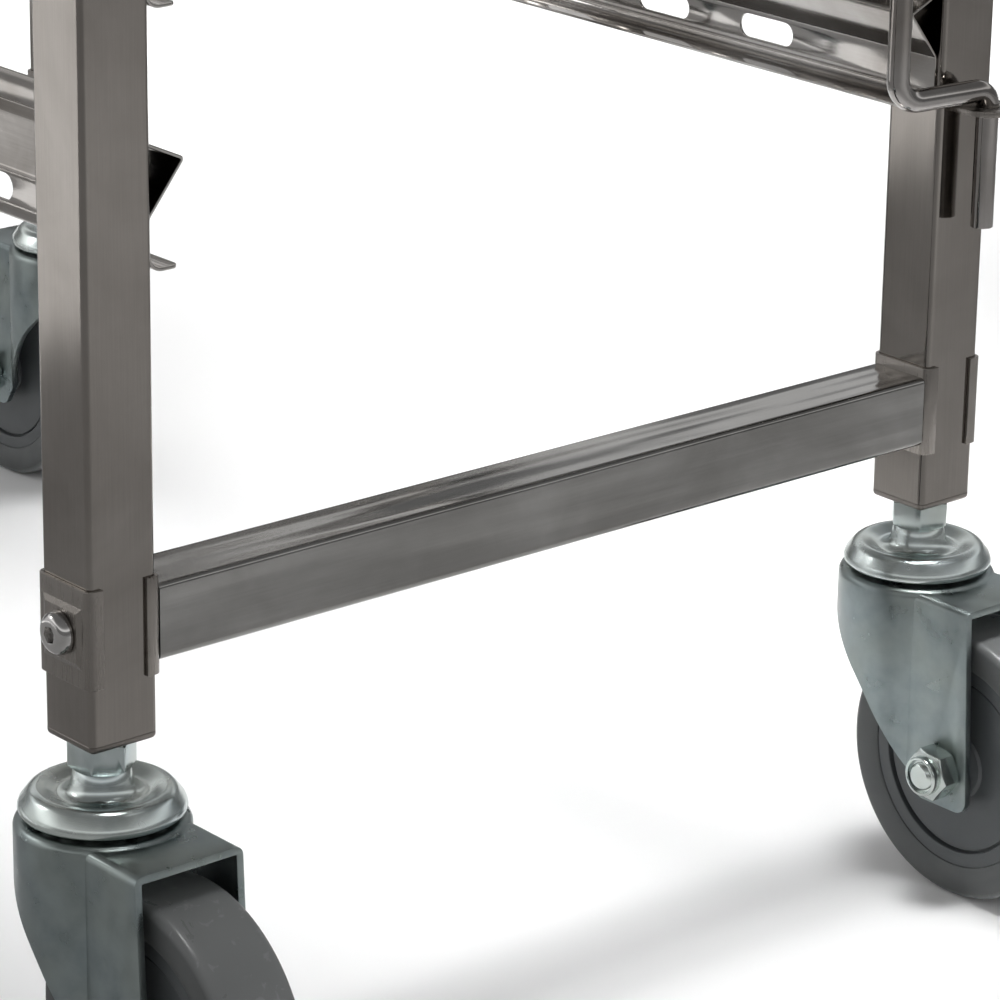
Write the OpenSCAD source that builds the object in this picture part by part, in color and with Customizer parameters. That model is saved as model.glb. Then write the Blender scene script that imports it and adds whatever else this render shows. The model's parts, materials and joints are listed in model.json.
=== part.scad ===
// Gastronorm pan rack: square-tube uprights, bolted crossbars, folded pan slides,
// a swinging pan stop and four swivel castors.
// X runs across the front, Y runs from the front to the back, Z is up from the floor.

/* [Frame] */
// Side of the square tube that the uprights and crossbars are cut from
tube = 25; // [22:0.5:30]
// Wall of the square tube
tube_wall = 1.5; // [1.2:0.1:2.5]
// Outer corner radius of the square tube
tube_corner = 2; // [1:0.25:3]
// Clear width between the left and right uprights
clear_w = 335; // [300:1:540]
// Depth over the uprights, front to back
rack_d = 550; // [480:2:700]
// Height of the lower crossbars above the uprights' feet
bar_rise = 25; // [15:1:80]
// Gap from the top of the lower crossbars to the lowest pan ledge
first_gap = 98; // [60:1:160]
// Room from the highest pan ledge to the top of the uprights
head_room = 133; // [110:1:200]
// Distance from the top of the uprights down to the upper crossbars
top_gap = 7; // [5:1:20]
// Thickness of the plug head that shows on top of an upright
cap_t = 2.5; // [1.5:0.5:5]
// Depth of the plug inside the upright
cap_plug = 14; // [10:1:30]
// Thickness of the plate that closes an upright's foot
foot_plate_t = 2.5; // [1.5:0.5:5]

/* [Crossbar joint] */
// Sheet thickness of the saddle plates
saddle_t = 1.2; // [0.8:0.1:2]
// Height of a saddle plate
saddle_h = 32; // [28:0.5:40]
// How far a saddle's flanges lap round the corners of the upright
saddle_lap = 4.5; // [3:0.5:8]
// Side of the pressed pad under the screw head, at its foot
pad_w = 20; // [19:0.5:21]
// How far the pad stands out of the plate
pad_raise = 0.8; // [0.4:0.1:1.5]
// Width of the slope round the pad
pad_slope = 2; // [1:0.25:2.25]
// Diameter of the crossbar screw
screw_d = 8; // [6:0.5:10]
// Diameter of the screw's button head
screw_head_d = 14; // [12:0.5:17]
// Height of the screw's button head
screw_head_h = 4.4; // [3:0.1:6]
// Hexagon key size of the screw
screw_key = 5; // [4:0.5:6]
// Length of the threaded block inside a crossbar's end
block_l = 12; // [8:1:20]
// Radial clearance of the screw in its plain holes
screw_gap = 0.25; // [0.1:0.05:0.5]

/* [Pan slides] */
// Number of pan levels
levels = 7; // [3:1:8]
// Height from one level to the next
level_pitch = 80; // [70:1:100]
// Sheet thickness of a slide
slide_t = 1; // [0.8:0.1:1.5]
// Width of the ledge that carries the pan's rim
ledge_w = 12; // [9:0.5:16]
// Radius of the bend between the ledge and the web, at the middle of the sheet
ledge_bend = 5; // [2:0.5:6]
// Radius of the ledge's free corner at its front end
ledge_corner = 3; // [1:0.5:5]
// Height of the web above the ledge's underside
web_h = 17; // [15:0.5:24]
// Rise of the anti-tilt fold, from the web's top to its tip
fold_rise = 16.5; // [12:0.5:24]
// Reach of the anti-tilt fold, inward from the upright
fold_reach = 14; // [9:0.5:18]
// Rise of the return fold, from the tip back to the upright
return_rise = 6; // [3:0.5:9]
// Height of the upright flange that is welded to the uprights
weld_flange = 9; // [5:0.5:14]
// Setback of a slide's ends from the faces of the uprights
slide_setback = 2.5; // [1:0.5:6]
// Length of a drain slot
slot_l = 27; // [15:1:35]
// Width of a drain slot
slot_w = 8.5; // [6:0.5:9]
// Height of the drain slots' middle above the ledge's underside
slot_rise = 11; // [10.5:0.25:11.5]
// Distance from one drain slot to the next
slot_pitch = 54; // [45:1:70]
// Clear length between the uprights and the nearest drain slot
slot_margin = 45; // [35:1:80]
// Height of the turned-up lip at a slide's rear end
lip_h = 9; // [5:0.5:12]

/* [Pan stop] */
// Diameter of the stop's round rod
rod_d = 8; // [6:0.5:10]
// Bend radius at the rod's centre line
rod_bend = 9; // [7:0.5:11]
// Bend radius over a hinge pin, at the rod's centre line
pin_bend = 6; // [5:0.5:9]
// Distance from the upright's inner face to the centre of the upright rod
stop_in = 26.5; // [24:0.5:40]
// Gap between the upright rod and the uprights' front plane
stop_gap = 0.8; // [0.5:0.1:3]
// Distance of the hinge pins' axis in front of the uprights
pin_out = 9; // [8.5:0.25:14]
// Distance of the hinge pins' axis from the upright's middle, outward
pin_side = 1.5; // [0:0.25:2.5]
// Height of the lower arm above the lowest ledge
arm_rise = 6; // [2:0.5:14]
// Room from the upper arm to the underside of the upper crossbar
arm_drop = 20; // [18:0.5:30]
// Length of a hinge pin, from its arm down to its end
pin_drop = 49; // [30:1:60]
// Thickness of a hinge plate
hinge_plate_t = 2; // [1.5:0.25:4]
// Metal around the pin in a hinge plate
hinge_plate_rim = 5.5; // [4:0.25:8]
// Radial running clearance of the pins in their plates
pin_gap = 0.05; // [0.03:0.01:0.1]

/* [Castor] */
// Diameter of the wheel
wheel_d = 100; // [80:1:125]
// Width of the tyre
tyre_w = 30; // [24:1:34]
// Radius of the tyre's shoulders
tyre_round = 3.5; // [2:0.5:5]
// Thickness of the tyre over the hub
tyre_t = 12; // [8:0.5:16]
// Distance from the swivel axis to the wheel's axle
trail = 36; // [30:0.5:44]
// Sheet thickness of the fork
fork_t = 2.5; // [2:0.25:3.5]
// Outer radius of the bend between the fork's crown and its sides
fork_bend = 3; // [2.5:0.25:4.5]
// Side clearance between the tyre and the fork
fork_gap = 3; // [2:0.25:4]
// Radius of the fork's round skirt
skirt_r = 28; // [26:0.5:32]
// How far the fork's sides reach past the axle, away from the swivel axis
fork_toe = 12.5; // [11:0.25:15]
// Depth of the fork's sides below the axle
fork_foot = 14; // [12:0.5:17]
// Distance from the axle back to the round at the foot of the fork's slope
fork_heel = 8.5; // [7:0.25:10]
// Height of the fork's skirt behind the head
skirt_h = 13; // [10:0.5:18]
// How far the fork's front edge leans back towards the crown
fork_lean = 4; // [0:0.5:6]
// Height of the round seat pressed up in the fork's crown
seat_h = 1.2; // [0.6:0.1:1.6]
// Room between the top of the wheel and the fork's crown
crown_gap = 10.5; // [8:0.5:16]
// Height of the swivel head above the fork's crown
head_h = 16; // [14:0.5:20]
// Radius of the swivel head
head_r = 26.5; // [25:0.5:31]
// Gap between the swivel head's rim and the fork's crown
head_gap = 1.5; // [1:0.1:2.5]
// Radius of the ring of balls in the swivel head
race_r = 20; // [18:0.5:21]
// Diameter of a swivel ball
ball_d = 6; // [4.5:0.25:6]
// Number of balls in one swivel head
balls = 16; // [8:1:18]
// Diameter of the kingpin inside the fork's crown
kingpin_d = 16; // [14:0.5:18]
// Diameter of the threaded stem
stem_d = 12; // [10:0.5:14]
// Length of the stem inside the upright
stem_l = 24; // [16:1:40]
// Size across flats of the lock nut on the stem
nut_af = 19; // [17:0.5:24]
// Height of the lock nut on the stem
nut_h = 10; // [7:0.5:12]
// Diameter of the axle bolt
axle_d = 10; // [8:0.5:11]
// Wall of the sleeve that the hub turns on
sleeve_wall = 2; // [1.5:0.25:3]
// Radial running clearance of the turning fits
run_gap = 0.06; // [0.03:0.01:0.1]
// Size across flats of the axle bolt's head and nut
axle_af = 17; // [15:0.5:19]

/* [Hidden] */
$fn = 48;
eps = 0.01;

corners = ["front_left", "front_right", "rear_left", "rear_right"];
castor_pieces = ["castor_head", "castor_fork", "castor_axle", "castor_sleeve", "castor_hub", "castor_tyre"];

// Colours of the finishes
steel = [0.60, 0.59, 0.57];
bright_steel = [0.72, 0.71, 0.70];
zinc = [0.62, 0.68, 0.70];
grey_rubber = [0.36, 0.37, 0.38];
grey_plastic = [0.45, 0.46, 0.47];
black_plastic = [0.10, 0.10, 0.10];

// Plan: the centres of the uprights
upright_x = clear_w / 2 + tube / 2;
upright_y = rack_d / 2 - tube / 2;
inner_x = clear_w / 2;
front_y = -rack_d / 2;
// -1 is left or front, 1 is right or rear, in the order of corners
corner_x = [-1, 1, -1, 1];
corner_y = [-1, -1, 1, 1];

// Heights of the castor, from the floor
axle_z = wheel_d / 2;
crown_z = wheel_d + crown_gap + fork_t;
stem_z = crown_z + head_h;
foot_z = stem_z + nut_h;

// Heights of the frame, from the floor
lower_bar_z = foot_z + bar_rise;
first_ledge_z = lower_bar_z + tube + first_gap;
last_ledge_z = first_ledge_z + (levels - 1) * level_pitch;
top_z = last_ledge_z + head_room;
upper_bar_z = top_z - top_gap - tube;
bar_heights = [lower_bar_z, upper_bar_z];
arm_z = first_ledge_z + arm_rise;
upper_arm_z = upper_bar_z - arm_drop;

// Tube
tube_in = tube - 2 * tube_wall;
fit_gap = 0.1;
bar_l = clear_w - 2 * saddle_t;
bar_mid = tube / 2;
block_corner = 0.5;
nut_chamfer = 1.2;

// Slides
slide_l = rack_d - 2 * slide_setback;
slot_span = rack_d - 2 * tube - 2 * slot_margin;
slot_steps = floor((slot_span - slot_l) / slot_pitch);

// Pan stop
rod_r = rod_d / 2;
pin_y = front_y - pin_out;
stop_x = inner_x - stop_in;
stop_y = front_y - stop_gap - rod_r;
pin_x = upright_x + pin_side;
stop_reach = sqrt(pow(pin_x - stop_x, 2) + pow(stop_y - pin_y, 2));
stop_angle = atan2(stop_y - pin_y, stop_x - pin_x);

// Castor
fork_in = tyre_w / 2 + fork_gap;
fork_out = fork_in + fork_t;
hub_r = wheel_d / 2 - tyre_t;
sleeve_r = axle_d / 2 + sleeve_wall;
crown_under = crown_z - fork_t;
kingpin_r = kingpin_d / 2;
stem_r = stem_d / 2;
race_h = 4;
race_gap = 0.3;
kingpin_low = crown_under - race_gap - race_h - 1.5;
axle_nut_h = 11;
axle_head_h = 6;
axle_tip = 0.3;

// Square with rounded corners, centred
module rounded_square(w, r) {
    square([w, w - 2 * r], center = true);
    square([w - 2 * r, w], center = true);
    for (x = [-1, 1], y = [-1, 1])
        translate([x * (w / 2 - r), y * (w / 2 - r)]) circle(r);
}

// Length of square tube along Z from the origin
module square_tube(l) {
    linear_extrude(l) difference() {
        rounded_square(tube, tube_corner);
        rounded_square(tube_in, max(tube_corner - tube_wall, 0.5));
    }
}

// Hexagon across its flats, with a turned chamfer on the end that shows
module hex_nut(af, h, bore) {
    corner_r = af / sqrt(3);
    difference() {
        intersection() {
            cylinder(h = h, r = corner_r, $fn = 6);
            rotate_extrude() polygon([
                [0, 0], [af / 2 * 0.99, 0], [corner_r + eps, nut_chamfer],
                [corner_r + eps, h - nut_chamfer], [af / 2 * 0.99, h], [0, h]]);
        }
        if (bore > 0) translate([0, 0, -1]) cylinder(h = h + 2, r = bore);
    }
}

// Puts its children at each end of each crossbar: X points outward, Z stays up
module at_bar_ends() {
    for (z = bar_heights, y = [-1, 1], x = [-1, 1])
        translate([x * inner_x, y * upright_y, z + bar_mid]) scale_x(x) children();
}

// Mirrors its children for the left side
module scale_x(side) {
    if (side > 0) children();
    else mirror([1, 0, 0]) children();
}

module upright(i) {
    x = corner_x[i];
    color(steel) translate([x * upright_x, corner_y[i] * upright_y, 0]) difference() {
        translate([0, 0, foot_z + foot_plate_t]) square_tube(top_z - foot_z - foot_plate_t);
        for (z = bar_heights)
            translate([-tube, 0, z + bar_mid]) rotate([0, 90, 0])
                cylinder(h = 2 * tube, r = screw_d / 2 + screw_gap);
    }
}

// Plastic plugs in the tops of the uprights
module upright_caps() {
    color(black_plastic) for (x = [-1, 1], y = [-1, 1])
        translate([x * upright_x, y * upright_y, top_z]) {
            linear_extrude(cap_t) rounded_square(tube, tube_corner);
            translate([0, 0, -cap_plug]) linear_extrude(cap_plug + eps)
                rounded_square(tube_in - 2 * fit_gap, block_corner);
        }
}

// Threaded blocks in the feet of the uprights, each with the plate that closes its tube
module foot_inserts() {
    block_top = stem_l + 6;
    color(steel) for (x = [-1, 1], y = [-1, 1])
        translate([x * upright_x, y * upright_y, foot_z]) difference() {
            union() {
                linear_extrude(foot_plate_t) rounded_square(tube, tube_corner);
                linear_extrude(block_top) rounded_square(tube_in - 2 * fit_gap, block_corner);
            }
            translate([0, 0, -1]) cylinder(h = stem_l + 2, r = stem_r + run_gap);
        }
}

module crossbar(side, z) {
    color(bright_steel) translate([-bar_l / 2, side * upright_y, z + bar_mid])
        rotate([0, 90, 0]) square_tube(bar_l);
}

// Folded plate that laps round an upright, lying on the plane x = 0 and reaching to +X
module saddle_plate() {
    wrap = tube + 2 * saddle_t;
    fold_in = tube_corner * 0.8;
    translate([0, 0, -saddle_h / 2]) linear_extrude(saddle_h) intersection() {
        translate([tube / 2, 0]) difference() {
            rounded_square(wrap, fold_in + saddle_t);
            rounded_square(tube, fold_in);
        }
        translate([-wrap, -wrap]) square([wrap + saddle_lap, 2 * wrap]);
    }
}

// Trapezium that stands out to -X by the pad's height, with the pad's sloping sides
module pad_section() {
    foot = pad_w / 2;
    crest = foot - pad_slope;
    polygon([[eps, -foot], [0, -foot], [-pad_raise, -crest], [-pad_raise, crest], [0, foot], [eps, foot]]);
}

// Pressed pad on the plane x = 0, standing out to -X
module saddle_pad() {
    intersection() {
        translate([0, 0, -pad_w / 2]) linear_extrude(pad_w) pad_section();
        translate([0, pad_w / 2, 0]) rotate([90, 0, 0]) linear_extrude(pad_w) pad_section();
    }
}

// Plates welded to the crossbars' ends, against the inner faces of the uprights
module inner_saddles() {
    color(bright_steel) at_bar_ends() difference() {
        saddle_plate();
        translate([-2 * saddle_t, 0, 0]) rotate([0, 90, 0])
            cylinder(h = 4 * saddle_t, r = screw_d / 2 + screw_gap);
    }
}

// Plates under the screw heads, on the outer faces of the uprights, with a pressed pad
module outer_saddles() {
    color(bright_steel) at_bar_ends() translate([tube, 0, 0]) mirror([1, 0, 0]) difference() {
        union() {
            saddle_plate();
            translate([-saddle_t, 0, 0]) saddle_pad();
        }
        translate([-3 * saddle_t - pad_raise, 0, 0]) rotate([0, 90, 0])
            cylinder(h = 6 * saddle_t + pad_raise, r = screw_d / 2 + screw_gap);
    }
}

// Button-head screws, from outside through the upright into the crossbar's end
module crossbar_screws() {
    seat = tube + saddle_t + pad_raise;
    shank = seat + saddle_t + block_l;
    head_flat = screw_head_d * 0.32;
    color(zinc) at_bar_ends() translate([seat, 0, 0]) rotate([0, 90, 0]) difference() {
        union() {
            translate([0, 0, -shank]) cylinder(h = shank + eps, r = screw_d / 2);
            rotate_extrude() polygon([
                [0, 0], [screw_head_d / 2, 0], [screw_head_d / 2, screw_head_h * 0.25],
                [screw_head_d * 0.45, screw_head_h * 0.62], [head_flat, screw_head_h], [0, screw_head_h]]);
        }
        translate([0, 0, screw_head_h * 0.4])
            cylinder(h = screw_head_h, r = screw_key / sqrt(3), $fn = 6);
    }
}

// Threaded blocks welded inside the crossbars' ends
module crossbar_thread_blocks() {
    color(steel) at_bar_ends() translate([-saddle_t - block_l, 0, 0]) rotate([0, 90, 0]) difference() {
        linear_extrude(block_l) rounded_square(tube_in - 2 * fit_gap, block_corner);
        translate([0, 0, -1]) cylinder(h = block_l + 2, r = screw_d / 2 + run_gap);
    }
}

// Straight stretch of folded sheet between two points of a profile
module sheet_run(p, q, t) {
    l = norm(q - p);
    translate(p) rotate(atan2(q[1] - p[1], q[0] - p[0]))
        translate([0, -t / 2]) square([l, t]);
}

// Profile of a slide: x is the reach from the upright's inner face, y is the height
module slide_profile() {
    t = slide_t;
    web_x = t / 2;
    bend_end = ledge_bend + t / 2;
    points = [
        [web_x, bend_end],
        [web_x, web_h],
        [fold_reach - t / 2, web_h + fold_rise],
        [web_x, web_h + fold_rise + return_rise],
        [web_x, web_h + fold_rise + return_rise + weld_flange]];
    translate([bend_end, 0]) square([ledge_w - t / 2 - bend_end, t]);
    translate([ledge_w - t / 2, t / 2]) circle(t / 2);
    translate([bend_end, bend_end]) difference() {
        corner_quarter(bend_end);
        circle(ledge_bend - t / 2);
    }
    for (i = [0 : len(points) - 2]) sheet_run(points[i], points[i + 1], t);
    for (i = [1 : len(points) - 2]) translate(points[i]) circle(t / 2);
}

// Quarter of a disc about the origin, in the corner towards -X and -Y
module corner_quarter(r) {
    intersection() {
        circle(r);
        translate([-2 * r, -2 * r]) square(2 * r);
    }
}

// Lip across the ledge's rear end, its corner following the bend
module lip_shape() {
    bend_end = ledge_bend + slide_t / 2;
    translate([bend_end, 0]) square([ledge_w - bend_end, lip_h]);
    translate([slide_t / 2, bend_end]) square([ledge_w - slide_t / 2, lip_h - bend_end]);
    translate([bend_end, bend_end]) corner_quarter(bend_end);
}

// Slide on the right side, its ledge's underside at z = 0, with the drain slots and rear lip
module slide_blank() {
    difference() {
        translate([inner_x, slide_l / 2, 0]) rotate([90, 0, 0]) mirror([1, 0, 0]) {
            linear_extrude(slide_l) slide_profile();
            linear_extrude(slide_t) lip_shape();
        }
        translate([inner_x - ledge_w + ledge_corner, ledge_corner - slide_l / 2, -1])
            linear_extrude(slide_t + 2) difference() {
                translate([-2 * ledge_corner, -2 * ledge_corner]) square(2 * ledge_corner);
                circle(ledge_corner);
            }
        for (i = [0 : slot_steps])
            translate([inner_x - 2 * slide_t, (i - slot_steps / 2) * slot_pitch, slot_rise])
                rotate([0, 90, 0]) drain_slot(4 * slide_t);
    }
}

// Obround cutter along Z, its long axis on Y
module drain_slot(h) {
    straight = slot_l - slot_w;
    translate([-slot_w / 2, -straight / 2, 0]) cube([slot_w, straight, h]);
    for (y = [-1, 1]) translate([0, y * straight / 2, 0]) cylinder(h = h, r = slot_w / 2);
}

module slide(side, i) {
    color(bright_steel) translate([0, 0, first_ledge_z + (i - 1) * level_pitch])
        scale_x(side) slide_blank();
}

// Plates welded to the right front upright, which carry the stop's hinge pins
module hinge_plates() {
    plate_r = rod_r + hinge_plate_rim;
    color(bright_steel) for (z = [arm_z, upper_arm_z])
        translate([pin_x, pin_y, z - pin_bend - hinge_plate_t]) difference() {
            union() {
                cylinder(h = hinge_plate_t, r = plate_r);
                translate([-plate_r, 0, 0]) cube([2 * plate_r, pin_out, hinge_plate_t]);
            }
            translate([-plate_r, pin_out, -1]) cube([2 * plate_r, plate_r, hinge_plate_t + 2]);
            translate([0, 0, -1]) cylinder(h = hinge_plate_t + 2, r = rod_r + pin_gap);
        }
}

// Quarter bend of the rod about the origin, from +X to +Z in the XZ plane
module rod_elbow(r) {
    rotate([90, 0, 0]) rotate_extrude(angle = 90) translate([r, 0]) circle(rod_r);
}

// Round rod that stands in front of the pans and swings out of their way.
// It is drawn with its pins on the Z axis and its arms along X.
module pan_stop() {
    arm_l = stop_reach - rod_bend - pin_bend;
    color(bright_steel) translate([pin_x, pin_y, 0]) rotate([0, 0, stop_angle]) {
        for (z = [arm_z, upper_arm_z]) {
            translate([0, 0, z - pin_drop]) cylinder(h = pin_drop - pin_bend, r = rod_r);
            translate([pin_bend, 0, z - pin_bend]) rotate([0, -90, 0]) rod_elbow(pin_bend);
            translate([pin_bend, 0, z]) rotate([0, 90, 0]) cylinder(h = arm_l, r = rod_r);
        }
        translate([stop_reach - rod_bend, 0, arm_z + rod_bend]) rotate([0, 90, 0]) rod_elbow(rod_bend);
        translate([stop_reach, 0, arm_z + rod_bend])
            cylinder(h = upper_arm_z - arm_z - 2 * rod_bend, r = rod_r);
        translate([stop_reach - rod_bend, 0, upper_arm_z - rod_bend]) rod_elbow(rod_bend);
    }
}

// Lock nuts between the swivel heads and the feet of the uprights
module castor_lock_nuts() {
    color(zinc) for (x = [-1, 1], y = [-1, 1])
        translate([x * upright_x, y * upright_y, stem_z]) hex_nut(nut_af, nut_h, stem_r + run_gap);
}

// Puts its children under an upright, with the wheel trailing outward to the front or the rear
module at_castor(i) {
    translate([corner_x[i] * upright_x, corner_y[i] * upright_y, 0])
        rotate([0, 0, corner_y[i] * 90]) children();
}

// Side of a castor, in its own frame, that faces the middle of the rack
function inward(i) = corner_x[i] * corner_y[i];

// Pressed head with its stem and kingpin; balls run in the groove under its raised ring
module castor_head(i) {
    rim_z = crown_z + head_gap;
    rim_h = 2;
    rim_break = 1.4;
    neck_r = nut_af / 2 - 0.6;
    crest_drop = 6.3;
    crest_z = stem_z - crest_drop;
    crest_r = head_r - 5.5;
    dish_z = crest_z - 2;
    dish_r = neck_r + 5.5;
    groove = ball_d / 2 + 0.45;
    ball_z = crown_z + race_gap + ball_d / 2;
    color(zinc) at_castor(i) union() {
        difference() {
            rotate_extrude() polygon([
                [0, rim_z], [head_r - rim_break, rim_z], [head_r - rim_break * 0.3, rim_z + rim_break * 0.4],
                [head_r, rim_z + rim_break], [head_r, rim_z + rim_h],
                [head_r - 1.2, crest_z - 2.6], [head_r - 3, crest_z - 0.8], [crest_r, crest_z],
                [crest_r - 2.5, crest_z - 0.5], [dish_r, dish_z], [neck_r + 3.4, dish_z + 0.5],
                [neck_r + 1.6, dish_z + 2.2], [neck_r + 0.6, dish_z + 5], [neck_r, stem_z], [0, stem_z]]);
            translate([0, 0, ball_z]) rotate_extrude() translate([race_r, 0]) circle(groove);
        }
        translate([0, 0, kingpin_low]) cylinder(h = rim_z - kingpin_low + eps, r = kingpin_r);
        translate([0, 0, stem_z - eps]) cylinder(h = nut_h + stem_l, r = stem_r);
    }
}

// Washers riveted under the forks' crowns, which hold the forks up on the kingpins
module lower_races() {
    color(zinc) for (i = [0 : 3]) at_castor(i)
        translate([0, 0, crown_under - race_gap - race_h]) difference() {
            cylinder(h = race_h, r = kingpin_r + 6);
            translate([0, 0, -1]) cylinder(h = race_h + 2, r = kingpin_r + run_gap);
        }
}

module swivel_balls() {
    color(bright_steel) for (i = [0 : 3]) at_castor(i)
        for (k = [0 : balls - 1]) rotate([0, 0, k * 360 / balls])
            translate([race_r, 0, crown_z + race_gap + ball_d / 2]) sphere(ball_d / 2);
}

// Cross-section of a pressed cap: x from -half to half, y from 0 to top, its top corners bent round
module bent_section(half, top, bend) {
    translate([-half, 0]) square([2 * half, top - bend]);
    translate([bend - half, 0]) square([2 * (half - bend), top]);
    for (x = [-1, 1]) translate([x * (half - bend), top - bend]) circle(bend);
}

// Solid under a pressed crown: a round end about the swivel axis, raised by the seat,
// and two parallel sides
module skirt_solid(inset, reach, top, bend) {
    rotate_extrude() intersection() {
        bent_section(skirt_r - inset, top, bend);
        square([skirt_r, top]);
    }
    rotate([90, 0, 90]) linear_extrude(reach) bent_section(fork_out - inset, top - seat_h, bend);
}

// Side view of the fork: x along the trail, y is the height from the floor
module fork_side_view() {
    margin = 1;
    corner_r = 5;
    low_z = axle_z - fork_foot;
    toe_x = trail + fork_toe;
    heel = [trail - fork_heel, low_z + corner_r];
    knee = [trail * 0.04, axle_z + (crown_z - axle_z) * 0.38];
    skirt_z = crown_z - skirt_h;
    tilt = atan2(knee[1] - heel[1], heel[0] - knee[0]) + 6;
    for (c = [heel, [toe_x - corner_r, heel[1]]]) translate(c) circle(corner_r);
    polygon([
        [-skirt_r - margin, crown_z + margin], [-skirt_r - margin, skirt_z], [-skirt_r * 0.82, skirt_z],
        knee, heel - corner_r * [sin(tilt), cos(tilt)], [heel[0], low_z], [toe_x - corner_r, low_z],
        [toe_x, heel[1]], [toe_x - fork_lean, crown_z + margin]]);
}

// Pressed fork: a crown with a round skirt and two side plates down to the axle
module castor_fork(i) {
    side_reach = trail + fork_toe;
    window_w = skirt_r;
    window_drop = 8;
    inner_bend = max(fork_bend - fork_t, 0.5);
    color(zinc) at_castor(i) difference() {
        intersection() {
            skirt_solid(0, side_reach, crown_z, fork_bend);
            translate([0, skirt_r + 1, 0]) rotate([90, 0, 0])
                linear_extrude(2 * skirt_r + 2) fork_side_view();
        }
        translate([0, 0, -eps]) skirt_solid(fork_t, side_reach + 1, crown_under + eps, inner_bend);
        translate([-skirt_r - 1, -window_w / 2, 0]) cube([skirt_r, window_w, crown_under - window_drop]);
        translate([0, 0, crown_under - 1]) cylinder(h = fork_t + 2, r = kingpin_r + run_gap);
        translate([trail, fork_out + 1, axle_z]) rotate([90, 0, 0])
            cylinder(h = 2 * fork_out + 2, r = axle_d / 2 + run_gap);
    }
}

// Axle bolt with its hexagon head outside and its nut towards the middle of the rack
module castor_axle(i) {
    s = inward(i);
    bolt_l = 2 * fork_out + axle_nut_h + axle_tip;
    axle_break = 0.8;
    color(zinc) at_castor(i) translate([trail, 0, axle_z]) mirror([0, s < 0 ? 1 : 0, 0]) {
        translate([0, -fork_out, 0]) rotate([-90, 0, 0]) {
            cylinder(h = bolt_l - axle_break, r = axle_d / 2);
            translate([0, 0, bolt_l - axle_break - eps])
                cylinder(h = axle_break + eps, r1 = axle_d / 2, r2 = axle_d / 2 - axle_break);
            translate([0, 0, -axle_head_h]) hex_nut(axle_af, axle_head_h + eps, 0);
        }
        translate([0, fork_out, 0]) rotate([-90, 0, 0]) axle_nut();
    }
}

// Lock nut with a round collar over its plastic ring
module axle_nut() {
    collar_h = 3;
    collar_r = axle_af / 2 - 1.3;
    recess = 1.5;
    difference() {
        union() {
            hex_nut(axle_af, axle_nut_h - collar_h, axle_d / 2 + run_gap);
            cylinder(h = axle_nut_h, r = collar_r);
        }
        translate([0, 0, -1]) cylinder(h = axle_nut_h + 2, r = axle_d / 2 + run_gap);
        translate([0, 0, axle_nut_h - recess]) cylinder(h = recess + 1, r = collar_r - 1.2);
    }
}

module castor_sleeve(i) {
    l = 2 * fork_in - 2 * fit_gap;
    color(steel) at_castor(i) translate([trail, l / 2, axle_z]) rotate([90, 0, 0]) difference() {
        cylinder(h = l, r = sleeve_r);
        translate([0, 0, -1]) cylinder(h = l + 2, r = axle_d / 2 + run_gap);
    }
}

// Moulded wheel centre: a boss on the sleeve, a flat disc with a groove round it, and a rim
module castor_hub(i) {
    bore = sleeve_r + run_gap;
    boss_r = bore + 4;
    boss_y = fork_in - 0.6;
    disc_y = tyre_w / 2 - 2.5;
    rim_y = tyre_w / 2 - 1.5;
    rim_w = 5;
    groove_w = 1;
    groove_y = disc_y - 1.5;
    rim_r = hub_r - rim_w;
    groove_r = rim_r - groove_w;
    color(grey_plastic) at_castor(i) translate([trail, 0, axle_z]) rotate([90, 0, 0])
        rotate_extrude() polygon([
            [bore, -boss_y], [boss_r, -boss_y], [boss_r + 1, -disc_y], [groove_r, -disc_y],
            [groove_r, -groove_y], [rim_r, -groove_y], [rim_r, -rim_y], [hub_r, -rim_y],
            [hub_r, rim_y], [rim_r, rim_y], [rim_r, groove_y], [groove_r, groove_y],
            [groove_r, disc_y], [boss_r + 1, disc_y], [boss_r, boss_y], [bore, boss_y]]);
}

module castor_tyre(i) {
    r = tyre_round;
    tread_r = wheel_d / 2;
    color(grey_rubber) at_castor(i) translate([trail, 0, axle_z]) rotate([90, 0, 0])
        rotate_extrude($fn = 96) {
            translate([hub_r, -tyre_w / 2]) square([tyre_t - r, tyre_w]);
            translate([hub_r, -tyre_w / 2 + r]) square([tyre_t, tyre_w - 2 * r]);
            for (s = [-1, 1]) translate([tread_r - r, s * (tyre_w / 2 - r)]) circle(r);
        }
}

for (i = [0 : 3]) {
    upright(i);
    castor_head(i);
    castor_fork(i);
    castor_axle(i);
    castor_sleeve(i);
    castor_hub(i);
    castor_tyre(i);
}
upright_caps();
foot_inserts();
crossbar(-1, lower_bar_z);  // crossbar_front_lower
crossbar(1, lower_bar_z);  // crossbar_rear_lower
crossbar(-1, upper_bar_z);  // crossbar_front_upper
crossbar(1, upper_bar_z);  // crossbar_rear_upper
inner_saddles();
outer_saddles();
crossbar_screws();
crossbar_thread_blocks();
for (i = [1 : levels]) {
    slide(-1, i);
    slide(1, i);
}
hinge_plates();
pan_stop();
castor_lock_nuts();
lower_races();
swivel_balls();
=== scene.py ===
import json
import math

import bmesh
import bpy
from mathutils import Matrix, Vector

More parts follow.
